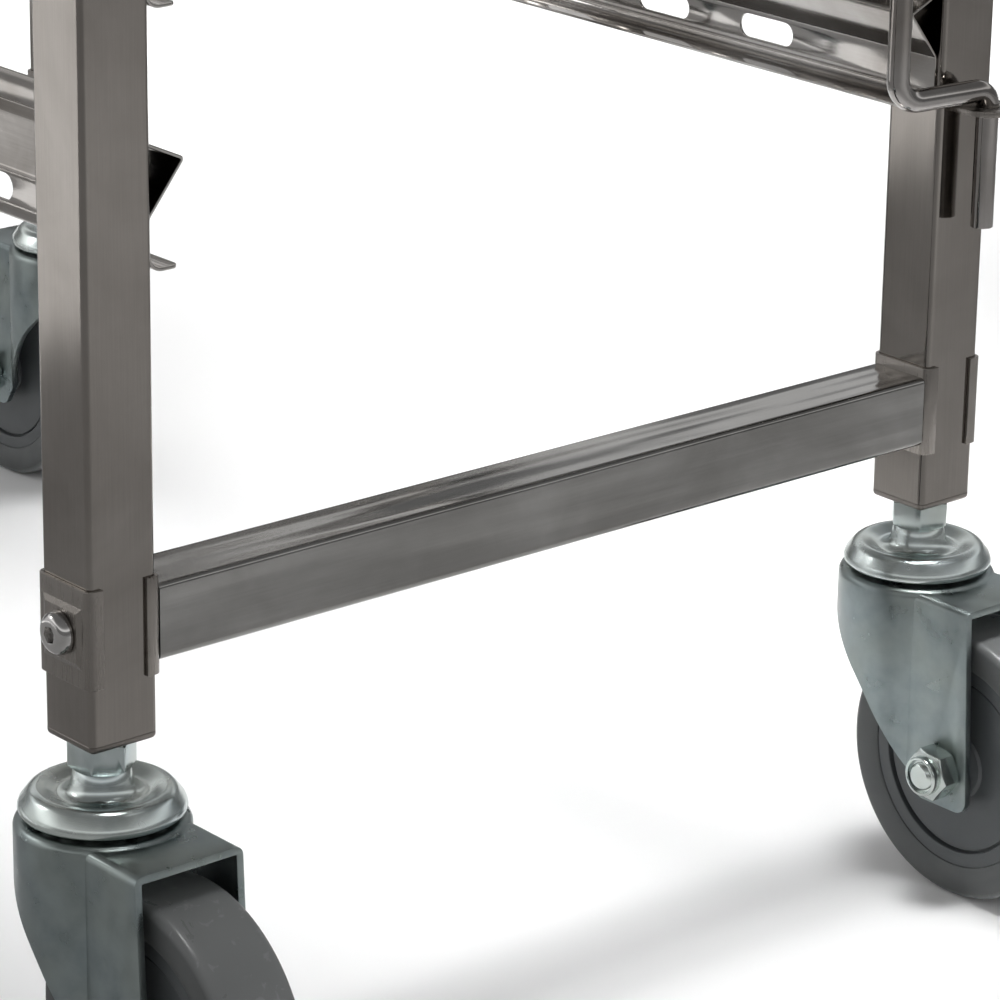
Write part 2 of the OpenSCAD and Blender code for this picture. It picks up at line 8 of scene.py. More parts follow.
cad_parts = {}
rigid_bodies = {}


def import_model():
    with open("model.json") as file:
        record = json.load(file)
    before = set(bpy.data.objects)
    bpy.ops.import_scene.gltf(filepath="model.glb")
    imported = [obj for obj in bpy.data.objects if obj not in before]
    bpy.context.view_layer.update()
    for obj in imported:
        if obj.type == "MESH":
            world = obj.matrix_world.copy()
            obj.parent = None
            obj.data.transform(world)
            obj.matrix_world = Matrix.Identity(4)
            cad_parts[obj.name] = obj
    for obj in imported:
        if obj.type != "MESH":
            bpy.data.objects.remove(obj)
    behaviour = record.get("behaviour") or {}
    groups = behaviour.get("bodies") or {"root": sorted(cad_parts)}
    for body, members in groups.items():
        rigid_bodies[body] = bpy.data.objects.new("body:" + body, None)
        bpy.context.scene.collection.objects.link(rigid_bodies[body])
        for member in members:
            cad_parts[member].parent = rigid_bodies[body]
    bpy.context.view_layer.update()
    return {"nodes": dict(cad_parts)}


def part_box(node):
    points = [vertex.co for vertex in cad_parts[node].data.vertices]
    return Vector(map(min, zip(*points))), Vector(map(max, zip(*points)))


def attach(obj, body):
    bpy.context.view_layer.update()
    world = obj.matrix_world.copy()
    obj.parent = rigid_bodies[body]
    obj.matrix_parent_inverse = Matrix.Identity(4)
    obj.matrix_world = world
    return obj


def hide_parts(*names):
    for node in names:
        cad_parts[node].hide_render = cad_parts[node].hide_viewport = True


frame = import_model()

MM = 0.001


# Camera
# The photograph looks down at the lower front of the rack from the front left, through a long lens.
# Its place, turn, tilt and lens were measured from the uprights, the crossbar and the castors.
camera_place = Vector((-909.2, -1292.5, 659.3)) * MM
camera_turn = math.radians(40.832)
camera_tilt = math.radians(19.365)
camera_roll = math.radians(0.878)

camera = bpy.data.objects.new("camera", bpy.data.cameras.new("camera"))
bpy.context.scene.collection.objects.link(camera)
camera.data.sensor_width = 36
camera.data.lens = 158.5
camera.data.clip_start = 0.05
camera.location = camera_place
camera.rotation_euler = (
    Matrix.Rotation(-camera_turn, 3, "Z")
    @ Matrix.Rotation(math.pi / 2 - camera_tilt, 3, "X")
    @ Matrix.Rotation(camera_roll, 3, "Z")
).to_euler()
bpy.context.scene.camera = camera


# Uprights
# Four lengths of 25 mm square stainless tube with small rounded corners, brushed along their length.
# The grain is fine, and handling leaves broad duller patches.
corners = ["front_left", "front_right", "rear_left", "rear_right"]
side_of = {"front_left": -1, "front_right": 1, "rear_left": -1, "rear_right": 1}
end_of = {"front_left": -1, "front_right": -1, "rear_left": 1, "rear_right": 1}
upright_box = {corner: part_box("upright_" + corner) for corner in corners}
axis_of = {corner: (low + high) / 2 for corner, (low, high) in upright_box.items()}
tube_side = upright_box["front_left"][1].x - upright_box["front_left"][0].x
tube_corner = 2 * MM
upright_top = upright_box["front_left"][1].z

steel_dark = (0.215, 0.197, 0.18)
steel_mid = (0.285, 0.265, 0.245)
steel_light = (0.42, 0.405, 0.39)


def effect(name, inputs, outputs):
    """An empty shader effect with named inputs and outputs, to be placed in several materials."""
    group = bpy.data.node_groups.new(name, "ShaderNodeTree")
    kinds = {"value": "NodeSocketFloat", "place": "NodeSocketVector"}
    for label, kind, start_value in inputs:
        socket = group.interface.new_socket(label, in_out="INPUT", socket_type=kinds[kind])
        if start_value is not None:
            socket.default_value = start_value
    for label, kind in outputs:
        group.interface.new_socket(label, in_out="OUTPUT", socket_type=kinds[kind])
    return group, group.nodes.new("NodeGroupInput"), group.nodes.new("NodeGroupOutput")


def node(tree, kind, links=(), **settings):
    """A new node with its settings; links gives (input, socket) pairs and numbers are set on the input."""
    made = tree.nodes.new(kind)
    for key, value in settings.items():
        setattr(made, key, value)
    for label, value in links:
        if isinstance(value, bpy.types.NodeSocket):
            tree.links.new(value, made.inputs[label])
        else:
            made.inputs[label].default_value = value
    return made


def spread(tree, value, low, high, start=0.0, end=1.0):
    """The value taken from low..high to start..end, held at its ends."""
    return node(tree, "ShaderNodeMapRange", [
        ("Value", value), ("From Min", low), ("From Max", high),
        ("To Min", start), ("To Max", end)]).outputs[0]


def blend_colours(tree, amount, first, second, how="MIX"):
    """Two colours mixed by a mask."""
    mixer = node(tree, "ShaderNodeMix", data_type="RGBA", blend_type=how)
    for label, value in (("Factor", amount), ("A", first), ("B", second)):
        socket = next(s for s in mixer.inputs if s.name == label and s.enabled)
        if isinstance(value, bpy.types.NodeSocket):
            tree.links.new(value, socket)
        else:
            socket.default_value = value if label == "Factor" else (*value, 1)
    return next(s for s in mixer.outputs if s.enabled)


def maths(tree, how, first, second):
    """The result of a sum on two numbers."""
    return node(tree, "ShaderNodeMath", [(0, first), (1, second)], operation=how).outputs[0]


def place_maths(tree, how, first, second):
    """The result of a sum on two places, taken part by part."""
    return node(tree, "ShaderNodeVectorMath", [(0, first), (1, second)], operation=how).outputs[0]


# Fine parallel scratches. Stretch is the number of scratches per metre across X, Y and Z.
brush_lines, lines_in, lines_out = effect(
    "brush lines", [("Place", "place", None), ("Stretch", "place", (2000, 2000, 40))], [("Lines", "value")])
stretched = place_maths(brush_lines, "MULTIPLY", lines_in.outputs["Place"], lines_in.outputs["Stretch"])
scratches = node(brush_lines, "ShaderNodeTexNoise", [
    ("Vector", stretched), ("Scale", 1.0), ("Detail", 4.0), ("Roughness", 0.62)])
brush_lines.links.new(spread(brush_lines, scratches.outputs[0], 0.3, 0.7), lines_out.inputs["Lines"])

# Long shallow ripples, as rolling and polishing leave in tube. Stretch is the number of ripples per metre.
ripple, ripple_in, ripple_out = effect(
    "ripple", [("Place", "place", None), ("Stretch", "place", (8, 60, 60))], [("Ripple", "value")])
rippled = place_maths(ripple, "MULTIPLY", ripple_in.outputs["Place"], ripple_in.outputs["Stretch"])
swell = node(ripple, "ShaderNodeTexNoise", [
    ("Vector", rippled), ("Scale", 1.0), ("Detail", 1.0), ("Roughness", 0.4)])
ripple.links.new(swell.outputs[0], ripple_out.inputs["Ripple"])

# Broad soft patches, as hands and wiping leave on metal and rubber. Size is in metres.
soft_patches, patches_in, patches_out = effect(
    "soft patches", [("Place", "place", None), ("Size", "value", 0.05)], [("Patch", "value")])
per_metre = maths(soft_patches, "DIVIDE", 1.0, patches_in.outputs["Size"])
cloudy = node(soft_patches, "ShaderNodeTexNoise", [
    ("Vector", patches_in.outputs["Place"]), ("Scale", per_metre), ("Detail", 5.0),
    ("Roughness", 0.55), ("Distortion", 0.6)])
soft_patches.links.new(spread(soft_patches, cloudy.outputs[0], 0.34, 0.66), patches_out.inputs["Patch"])


def place_effect(tree, group, links):
    """A shared effect placed in a material."""
    return node(tree, "ShaderNodeGroup", links, node_tree=group)


def material(name):
    """A new material with its nodes, its shader and the places on its piece."""
    made = bpy.data.materials.new(name)
    made.use_nodes = True
    tree = made.node_tree
    return made, tree, tree.nodes["Principled BSDF"], node(tree, "ShaderNodeTexCoord").outputs["Object"]


def steel(name, dark, light, grain, dull, gloss, bump=0.025, waves=(0, 0, 0), wave_height=0.0):
    """Stainless steel. Grain and waves are scratches and ripples per metre; gloss and dull bound roughness."""
    made, tree, shader, place = material(name)
    lines = place_effect(tree, brush_lines, [("Place", place), ("Stretch", grain)]).outputs["Lines"]
    patch = place_effect(tree, soft_patches, [("Place", place), ("Size", 0.07)]).outputs["Patch"]
    cloud = blend_colours(tree, patch, dark, light)
    darker = spread(tree, lines, 0, 1, 0.95, 1.04)
    grey = node(tree, "ShaderNodeCombineColor", [(0, darker), (1, darker), (2, darker)]).outputs[0]
    tree.links.new(blend_colours(tree, 1.0, cloud, grey, "MULTIPLY"), shader.inputs["Base Color"])
    wiped = spread(tree, patch, 0, 1, gloss, (gloss + dull) / 2)
    scratched = spread(tree, lines, 0, 1, 0, (dull - gloss) / 2)
    tree.links.new(maths(tree, "ADD", wiped, scratched), shader.inputs["Roughness"])
    relief = node(tree, "ShaderNodeBump", [("Strength", bump), ("Distance", 0.2 * MM), ("Height", lines)])
    if wave_height:
        ripples = place_effect(tree, ripple, [("Place", place), ("Stretch", waves)]).outputs["Ripple"]
        rolled = node(tree, "ShaderNodeBump", [
            ("Strength", 1.0), ("Distance", wave_height), ("Height", ripples)])
        tree.links.new(rolled.outputs[0], relief.inputs["Normal"])
    tree.links.new(relief.outputs[0], shader.inputs["Normal"])
    shader.inputs["Metallic"].default_value = 1.0
    return made


def finish_cad(names, made):
    """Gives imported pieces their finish."""
    for name in names:
        piece = frame["nodes"][name]
        piece.data.materials.clear()
        piece.data.materials.append(made)


upright_steel = steel(
    "upright steel", steel_dark, steel_mid, (1600, 1600, 30), dull=0.13, gloss=0.04, waves=(45, 45, 7),
    wave_height=0.35 * MM)
finish_cad(["upright_" + corner for corner in corners], upright_steel)


# Foot plates
# Each upright's foot is closed by a steel plate, and a threaded block behind it takes the castor's stem.
# The plate is welded on and its edges are ground round.
foot_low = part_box("foot_inserts")[0].z
foot_plate = 2.5 * MM
block_side = 21.8 * MM
block_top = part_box("foot_inserts")[1].z
stem_radius = 6 * MM


def start(add, **size):
    """Adds a primitive at its place with nothing else selected, and opens it for editing."""
    bpy.ops.object.select_all(action="DESELECT")
    add(**size)
    bpy.ops.object.transform_apply(location=True, rotation=True, scale=True)
    bpy.ops.object.mode_set(mode="EDIT")
    bpy.ops.mesh.select_all(action="DESELECT")
    return bpy.context.object


def edit(shape):
    """Opens a shape for editing again, with nothing selected."""
    bpy.ops.object.select_all(action="DESELECT")
    bpy.context.view_layer.objects.active = shape
    shape.select_set(True)
    bpy.ops.object.mode_set(mode="EDIT")
    bpy.ops.mesh.select_all(action="DESELECT")


def done(shape):
    """Closes editing, with doubles merged and all faces turned outward."""
    bpy.ops.mesh.select_mode(type="VERT")
    bpy.ops.mesh.select_all(action="SELECT")
    bpy.ops.mesh.remove_doubles(threshold=0.002 * MM)
    bpy.ops.mesh.normals_make_consistent(inside=False)
    bpy.ops.object.mode_set(mode="OBJECT")
    return shape


def middle(part):
    """The middle of a vertex, an edge or a face."""
    if isinstance(part, bmesh.types.BMVert):
        return part.co
    return sum((v.co for v in part.verts), Vector()) / len(part.verts)


def pick(shape, kind, test):
    """Selects the vertices, edges or faces that pass the test, and nothing else."""
    bpy.ops.mesh.select_mode(type=kind)
    bpy.ops.mesh.select_all(action="DESELECT")
    mesh = bmesh.from_edit_mesh(shape.data)
    for part in {"VERT": mesh.verts, "EDGE": mesh.edges, "FACE": mesh.faces}[kind]:
        if test(part):
            part.select_set(True)
    mesh.select_flush_mode()
    bmesh.update_edit_mesh(shape.data)


def upright_edge(part):
    """True for an edge that runs along Z."""
    run = part.verts[0].co - part.verts[1].co
    return abs(run.z) > 0.9 * run.length


def apply(shape, kind, **settings):
    """Adds a modifier and applies it."""
    bpy.ops.object.select_all(action="DESELECT")
    bpy.context.view_layer.objects.active = shape
    shape.select_set(True)
    added = shape.modifiers.new(kind.lower(), kind)
    for key, value in settings.items():
        setattr(added, key, value)
    bpy.ops.object.modifier_apply(modifier=added.name)
    return shape


def cut(shape, cutter, how="DIFFERENCE"):
    """Cuts a shape by another, which is then thrown away."""
    apply(shape, "BOOLEAN", operation=how, solver="EXACT", object=cutter)
    bpy.data.objects.remove(cutter)
    return shape


def join(shapes):
    """Several shapes made one piece."""
    bpy.ops.object.select_all(action="DESELECT")
    for shape in shapes:
        shape.select_set(True)
    bpy.context.view_layer.objects.active = shapes[0]
    if len(shapes) > 1:
        bpy.ops.object.join()
    return shapes[0]


def copy(shape, place=(0, 0, 0), turn=0.0, mirror=(1, 1, 1)):
    """A copy with its own mesh, mirrored, turned about Z and then set down at a place."""
    made = shape.copy()
    made.data = shape.data.copy()
    bpy.context.scene.collection.objects.link(made)
    made.data.transform(
        Matrix.Translation(place) @ Matrix.Rotation(turn, 4, "Z") @ Matrix.Diagonal((*mirror, 1)))
    if mirror[0] * mirror[1] * mirror[2] < 0:
        made.data.flip_normals()
    return made


def dress(shape, name, made, body, nodes, smooth=32):
    """Names a finished piece, gives it its material and hangs it on its body in place of its nodes."""
    bpy.ops.object.select_all(action="DESELECT")
    bpy.context.view_layer.objects.active = shape
    shape.select_set(True)
    bpy.ops.object.shade_smooth_by_angle(angle=math.radians(smooth))
    shape.name = name
    shape.data.name = name
    shape.data.materials.clear()
    shape.data.materials.append(made)
    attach(shape, body)
    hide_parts(*nodes)
    return shape


def rounded_block(low, high, corner, segments=4):
    """A block whose upright edges are rounded."""
    size = Vector(high) - Vector(low)
    centre = (Vector(low) + Vector(high)) / 2
    block = start(bpy.ops.mesh.primitive_cube_add, size=1, location=centre, scale=size)
    pick(block, "EDGE", upright_edge)
    bpy.ops.mesh.bevel(offset=corner, segments=segments, affect="EDGES")
    return block


def around(corner, half, low, high):
    """Two opposite corners of a block centred on an upright's axis."""
    x, y = axis_of[corner].xy
    return (x - half, y - half, low), (x + half, y + half, high)


def level_edge(z):
    """Test for the edges that lie level at a height."""
    return lambda part: all(abs(v.co.z - z) < 0.01 * MM for v in part.verts)


foot_shapes = []
for corner in corners:
    plate = rounded_block(*around(corner, tube_side / 2, foot_low, foot_low + foot_plate), tube_corner)
    pick(plate, "EDGE", level_edge(foot_low))
    bpy.ops.mesh.bevel(offset=1.6 * MM, segments=4, affect="EDGES")
    pick(plate, "EDGE", level_edge(foot_low + foot_plate))
    bpy.ops.mesh.bevel(offset=0.25 * MM, segments=1, affect="EDGES")
    foot_shapes.append(done(plate))
    block = rounded_block(
        *around(corner, block_side / 2, foot_low + foot_plate - 0.3 * MM, block_top), 0.5 * MM, 2)
    foot_shapes.append(done(block))
foot_steel = steel(
    "foot plate steel", (0.17, 0.155, 0.14), steel_dark, (900, 900, 300), dull=0.45, gloss=0.28)
dress(join(foot_shapes), "foot_plates", foot_steel, "frame", ["foot_inserts"])


# Plugs
# Black moulded plugs close the tops of the uprights. Their heads have softly rounded edges, and they are
# held by friction.
cap_head = 2.5 * MM
cap_depth = 14 * MM
plug_shapes = []
for corner in corners:
    head = rounded_block(*around(corner, tube_side / 2, upright_top, upright_top + cap_head), tube_corner)
    pick(head, "EDGE", level_edge(upright_top + cap_head))
    bpy.ops.mesh.bevel(offset=1.2 * MM, segments=4, affect="EDGES")
    plug_shapes.append(done(head))
    plug_low, plug_high = around(corner, block_side / 2, upright_top - cap_depth, upright_top + 0.3 * MM)
    plug_shapes.append(done(rounded_block(plug_low, plug_high, 0.5 * MM, 2)))


def moulded(name, dark, light, rough, pebble, bump):
    """Moulded plastic: soft patches of tone and a fine pebbled skin of the given size."""
    made, tree, shader, place = material(name)
    patch = place_effect(tree, soft_patches, [("Place", place), ("Size", 0.03)]).outputs["Patch"]
    skin = place_effect(tree, soft_patches, [("Place", place), ("Size", pebble)]).outputs["Patch"]
    tree.links.new(blend_colours(tree, patch, dark, light), shader.inputs["Base Color"])
    tree.links.new(spread(tree, patch, 0, 1, rough - 0.06, rough + 0.08), shader.inputs["Roughness"])
    relief = node(tree, "ShaderNodeBump", [("Strength", bump), ("Distance", 0.1 * MM), ("Height", skin)])
    tree.links.new(relief.outputs[0], shader.inputs["Normal"])
    return made


plug_plastic = moulded("plug plastic", (0.018, 0.018, 0.019), (0.03, 0.03, 0.031), 0.42, 0.8 * MM, 0.15)
dress(join(plug_shapes), "tube_plugs", plug_plastic, "frame", ["upright_caps"])


# Crossbars
# Four lengths of the same square tube between the uprights, brushed along their length and then polished,
# so that they show a broken reflection of the room.
bars = ["crossbar_front_lower", "crossbar_rear_lower", "crossbar_front_upper", "crossbar_rear_upper"]
bar_steel = steel(
    "crossbar steel", (0.235, 0.23, 0.22), (0.32, 0.315, 0.305), (30, 1500, 1500), dull=0.2, gloss=0.07,
    bump=0.03, waves=(7, 75, 75), wave_height=1.7 * MM)
finish_cad(bars, bar_steel)
finish_cad(["crossbar_thread_blocks"], foot_steel)


# Saddles
# Plates of 1.2 mm stainless sheet folded round the uprights. The inner ones are welded to the crossbars'
# ends, and the outer ones have a pressed pad, sloping at its sides, that the screw head sits on.
saddle_t = 1.2 * MM
saddle_h = 32 * MM
saddle_lap = 4.5 * MM
saddle_fold = 2.2 * MM
pad_side = 20 * MM
pad_slope = 2 * MM
pad_raise = 0.8 * MM
screw_hole = 4.25 * MM
bar_boxes = [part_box(name) for name in bars]
bar_places = [((low.y + high.y) / 2, (low.z + high.z) / 2) for low, high in bar_boxes]
inner_face = axis_of["front_right"].x - tube_side / 2


def drawn(points):
    """A line of edges, drawn from point to point."""
    points = [Vector(p) for p in points]
    line = start(bpy.ops.mesh.primitive_plane_add, size=1 * MM, location=points[0])
    bpy.ops.mesh.select_mode(type="VERT")
    bpy.ops.mesh.select_all(action="SELECT")
    bpy.ops.mesh.merge(type="CENTER")
    for here, there in zip(points, points[1:]):
        bpy.ops.mesh.extrude_region_move(TRANSFORM_OT_translate={"value": there - here})
    return line


def round_corners(line, places, offset, segments):
    """Rounds the corners of a drawn line at the given places."""
    for place in places:
        pick(line, "VERT", lambda v: (v.co - Vector(place)).length < 0.01 * MM)
        bpy.ops.mesh.bevel(offset=offset, segments=segments, affect="VERTICES")


def pull(shape, by):
    """Draws everything out along a direction."""
    bpy.ops.mesh.select_all(action="SELECT")
    bpy.ops.mesh.extrude_region_move(TRANSFORM_OT_translate={"value": by})
    bpy.ops.mesh.select_all(action="DESELECT")


def rod_cutter(place, radius, length, turn, sides=32):
    """A round or many-sided bar to cut a hole with, its middle at a place."""
    bpy.ops.object.select_all(action="DESELECT")
    bpy.ops.mesh.primitive_cylinder_add(
        vertices=sides, radius=radius, depth=length, location=place, rotation=turn)
    bpy.ops.object.transform_apply(location=True, rotation=True, scale=True)
    return bpy.context.object


def break_edges(shape, width, angle, segments=2):
    """Rounds the edges at which the surface turns by more than an angle in degrees."""
    return apply(
        shape, "BEVEL", width=width, segments=segments, limit_method="ANGLE", angle_limit=math.radians(angle))


def saddle(padded):
    """A saddle on the plane x = 0, its flanges reaching to +X, with or without its pad."""
    wrap = tube_side / 2 + saddle_t / 2
    low = -saddle_h / 2
    folds = [(-saddle_t / 2, -wrap, low), (-saddle_t / 2, wrap, low)]
    plate = drawn([(saddle_lap, -wrap, low), *folds, (saddle_lap, wrap, low)])
    round_corners(plate, folds, saddle_fold, 5)
    pull(plate, (0, 0, saddle_h))
    if padded:
        for across in (Vector((0, 1, 0)), Vector((0, 0, 1))):
            for offset in (-pad_side / 2, pad_side / 2):
                bpy.ops.mesh.select_all(action="SELECT")
                bpy.ops.mesh.bisect(plane_co=across * offset, plane_no=across)
        pick(plate, "FACE", lambda f: middle(f).length < 1 * MM)
        bpy.ops.mesh.inset(thickness=pad_slope, depth=0)
        bpy.ops.transform.translate(value=(-pad_raise, 0, 0))
    done(plate)
    apply(plate, "SOLIDIFY", thickness=saddle_t, offset=0, use_even_offset=True)
    cut(plate, rod_cutter((0, 0, 0), screw_hole, 8 * MM, (0, math.pi / 2, 0)))
    return break_edges(plate, 0.22 * MM, 50)


plain_saddle = saddle(False)
pad_saddle = saddle(True)
inner_shapes, outer_shapes = [], []
for y, z in bar_places:
    for side in (-1, 1):
        inner_shapes.append(copy(plain_saddle, (side * inner_face, y, z), mirror=(side, 1, 1)))
        outer_shapes.append(copy(pad_saddle, (side * (inner_face + tube_side), y, z), mirror=(-side, 1, 1)))
bpy.data.objects.remove(plain_saddle)
bpy.data.objects.remove(pad_saddle)
saddle_steel = steel("saddle steel", steel_dark, steel_mid, (1500, 1500, 60), dull=0.36, gloss=0.2)
dress(join(inner_shapes), "inner_saddle_plates", saddle_steel, "frame", ["inner_saddles"])
dress(
    join(outer_shapes), "outer_saddle_plates", saddle_steel, "frame", ["outer_saddles"], 20)


# Crossbar screws
# M8 button-head screws of bright stainless steel with a hexagon key socket. They pass through the upright
# into the block in the crossbar's end.
screw_r = 4 * MM
head_r = 7 * MM
head_h = 4.4 * MM
key_size = 5 * MM
screw_tip = 40.2 * MM


def turned(rings, steps=64, joined=False):
    """A turned shape about Z: a ring of edges drawn on from one (radius, height) to the next."""
    radius, height = rings[0]
    shape = start(
        bpy.ops.mesh.primitive_circle_add, vertices=steps, radius=radius, location=(0, 0, height))
    bpy.ops.mesh.select_mode(type="EDGE")
    bpy.ops.mesh.select_all(action="SELECT")
    for next_radius, next_height in rings[1:]:
        bpy.ops.mesh.extrude_region_move(TRANSFORM_OT_translate={"value": (0, 0, next_height - height)})
        widen = next_radius / radius
        bpy.ops.transform.resize(value=(widen, widen, 1), center_override=(0, 0, next_height))
        radius, height = next_radius, next_height
    if not joined:
        pick(shape, "EDGE", lambda e: e.is_boundary)
        bpy.ops.mesh.fill_holes(sides=0)
    return done(shape)


def arc(centre, radius, first, last, count):
    """Points (radius, height) round an arc of a turned section, by angles in degrees from outward."""
    angles = [math.radians(first + (last - first) * i / count) for i in range(count + 1)]
    return [(centre[0] + radius * math.cos(a), centre[1] + radius * math.sin(a)) for a in angles]


def laid(shape, turn, place=(0, 0, 0)):
    """Turns a shape and sets it down, with its place in its mesh."""
    shape.data.transform(Matrix.Translation(place) @ turn)
    return shape


flat_r = 3.9 * MM
tip_chamfer = 0.7 * MM
head_edge = 0.7 * MM
screw = turned(
    [(screw_r - tip_chamfer, -screw_tip), (screw_r, -screw_tip + tip_chamfer), (screw_r, -0.3 * MM)]
    + [(head_r - 0.3 * MM, 0), (head_r, 0.35 * MM)]
    + [(flat_r + (head_r - flat_r) * math.cos(a), head_edge + (head_h - head_edge) * math.sin(a))
       for a in [math.radians(d) for d in range(0, 90, 10)]]
    + [(flat_r, head_h)])
socket_floor = head_h * 0.4
cut(screw, rod_cutter(
    (0, 0, socket_floor + head_h), key_size / math.sqrt(3), 2 * head_h, (0, 0, math.radians(10)), 6))
break_edges(screw, 0.15 * MM, 50)
screw_shapes = []
head_seat = inner_face + tube_side + saddle_t + pad_raise
for y, z in bar_places:
    for side in (-1, 1):
        set_screw = laid(copy(screw), Matrix.Rotation(side * math.pi / 2, 4, "Y"))
        screw_shapes.append(laid(set_screw, Matrix.Identity(4), (side * head_seat, y, z)))
bpy.data.objects.remove(screw)
screw_steel = steel(
    "screw steel", (0.33, 0.32, 0.31), (0.56, 0.55, 0.54), (400, 400, 400), dull=0.14, gloss=0.05)
dress(join(screw_shapes), "button_screws", screw_steel, "frame", ["crossbar_screws"])


# Pan slides
# Fourteen runners folded from 1 mm stainless sheet with a mirror finish. Each has a ledge for the pan's rim,
# a web with obround slots, a fold that keeps the pan from tipping, and a flange welded to the uprights.
slide_t = 1 * MM
ledge_w = 12 * MM
ledge_bend = 5 * MM
ledge_corner = 3 * MM
web_h = 17 * MM
fold_reach = 14 * MM
fold_rise = 16.5 * MM
return_rise = 6 * MM
weld_flange = 9 * MM
lip_h = 9 * MM
slot_l, slot_w, slot_pitch, slot_count = 27 * MM, 8.5 * MM, 54 * MM, 8
slot_z = 11 * MM
slide_bend = 1.3 * MM
levels = 7
slide_box = {level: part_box(f"slide_right_{level}") for level in range(1, levels + 1)}
slide_low, slide_high = slide_box[1]
web_x = slide_high.x - slide_t / 2
slide_points = [
    (web_x - ledge_w + slide_t / 2, slide_t / 2),
    (web_x, slide_t / 2),
    (web_x, web_h),
    (web_x + slide_t - fold_reach, web_h + fold_rise),
    (web_x, web_h + fold_rise + return_rise),
    (web_x, web_h + fold_rise + return_rise + weld_flange)]
slide_line = [(x, slide_low.y, z) for x, z in slide_points]
runner = drawn(slide_line)
round_corners(runner, slide_line[1:2], ledge_bend, 8)
round_corners(runner, slide_line[2:3], slide_bend * 0.6, 4)
round_corners(runner, slide_line[3:4], slide_bend * 0.8, 6)
round_corners(runner, slide_line[4:5], slide_bend * 0.6, 4)
pull(runner, (0, slide_high.y - slide_low.y, 0))
round_corners(runner, slide_line[:1], ledge_corner, 6)
done(runner)
apply(runner, "SOLIDIFY", thickness=slide_t, offset=0, use_even_offset=True)
lip_in, lip_out, lip_y = web_x - ledge_w + slide_t / 2, web_x - 0.1 * MM, slide_high.y - slide_t
lip_low = 0.05 * MM
lip_corners = [
    (lip_in, lip_y, lip_low), (lip_out, lip_y, lip_low), (lip_out, lip_y, lip_h), (lip_in, lip_y, lip_h)]
lip = drawn(lip_corners)
round_corners(lip, lip_corners[1:2], ledge_bend, 8)
round_corners(lip, lip_corners[3:4], 2 * MM, 4)
bpy.ops.mesh.select_all(action="SELECT")
bpy.ops.mesh.edge_face_add()
pull(lip, (0, slide_t, 0))
done(lip)
slots = start(
    bpy.ops.mesh.primitive_cube_add, size=1, location=(web_x, -slot_pitch * (slot_count - 1) / 2, slot_z),
    scale=(6 * MM, slot_l, slot_w))
pick(slots, "EDGE", lambda e: abs((e.verts[0].co - e.verts[1].co).x) > 5 * MM)
bpy.ops.mesh.bevel(offset=slot_w / 2 - 0.01 * MM, segments=10, affect="EDGES")
bpy.ops.mesh.select_all(action="SELECT")
for _ in range(slot_count - 1):
    bpy.ops.mesh.duplicate_move(TRANSFORM_OT_translate={"value": (0, slot_pitch, 0)})
cut(runner, done(slots))
join([runner, lip])
break_edges(runner, 0.2 * MM, 60)
slide_steel = steel(
    "slide steel", steel_mid, (0.48, 0.465, 0.45), (1200, 25, 1200), dull=0.16, gloss=0.05, bump=0.02)
for side_name, side in (("left", -1), ("right", 1)):
    for level in range(1, levels + 1):
        dress(
            copy(runner, (0, 0, slide_box[level][0].z), mirror=(side, 1, 1)),
            f"pan_runner_{side_name}_{level}", slide_steel, "frame",
            [f"slide_{side_name}_{level}"])
bpy.data.objects.remove(runner)


# Hinge plates
# Two D-shaped plates of 2 mm stainless sheet welded to the front of the right upright. The pan stop's pins
# drop into their holes.
plate_low, plate_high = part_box("hinge_plates")
plate_t = 2 * MM
pin_x = axis_of["front_right"].x + 1.5 * MM
pin_out = 9 * MM
face_y = axis_of["front_right"].y - tube_side / 2
pin_y = face_y - pin_out
plate_r = 9.5 * MM
rod_r = 4 * MM
pin_gap = 0.05 * MM
hinge_shapes = []
for top in (plate_high.z, plate_low.z + plate_t):
    plate = start(
        bpy.ops.mesh.primitive_circle_add, vertices=64, radius=plate_r,
        location=(pin_x, pin_y, top - plate_t))
    pick(plate, "VERT", lambda v: v.co.y > pin_y + 0.1 * MM)
    bpy.ops.mesh.delete(type="VERT")
    for side in (-1, 1):
        pick(plate, "VERT", lambda v: abs(v.co.y - pin_y) < 0.01 * MM and (v.co.x - pin_x) * side > 0)
        bpy.ops.mesh.extrude_region_move(TRANSFORM_OT_translate={"value": (0, pin_out, 0)})
    pick(plate, "VERT", lambda v: v.co.y > face_y - 0.01 * MM)
    bpy.ops.mesh.edge_face_add()
    bpy.ops.mesh.select_all(action="SELECT")
    bpy.ops.mesh.edge_face_add()
    pull(plate, (0, 0, plate_t))
    done(plate)
    cut(plate, rod_cutter((pin_x, pin_y, top - plate_t / 2), rod_r + pin_gap, 3 * plate_t, (0, 0, 0), 48))
    hinge_shapes.append(break_edges(plate, 0.3 * MM, 50))
dress(join(hinge_shapes), "stop_hinges", saddle_steel, "frame", ["hinge_plates"])


# Pan stop
# A polished 8 mm round rod bent at its four corners. Its two pins point down into the hinge plates, so that
# it swings clear of the pans and lifts out.
stop_low, stop_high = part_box("pan_stop")
rod_bend = 9 * MM
pin_bend = 6 * MM
pin_drop = 49 * MM
stop_gap = 0.8 * MM
stop_x = stop_low.x + rod_r
stop_y = face_y - stop_gap - rod_r
arm_low = stop_low.z + pin_drop
arm_high = stop_high.z - rod_r
pin_line = Vector((pin_x, pin_y, 0))
stop_line = Vector((stop_x, stop_y, 0))
rise = Vector((0, 0, 1))


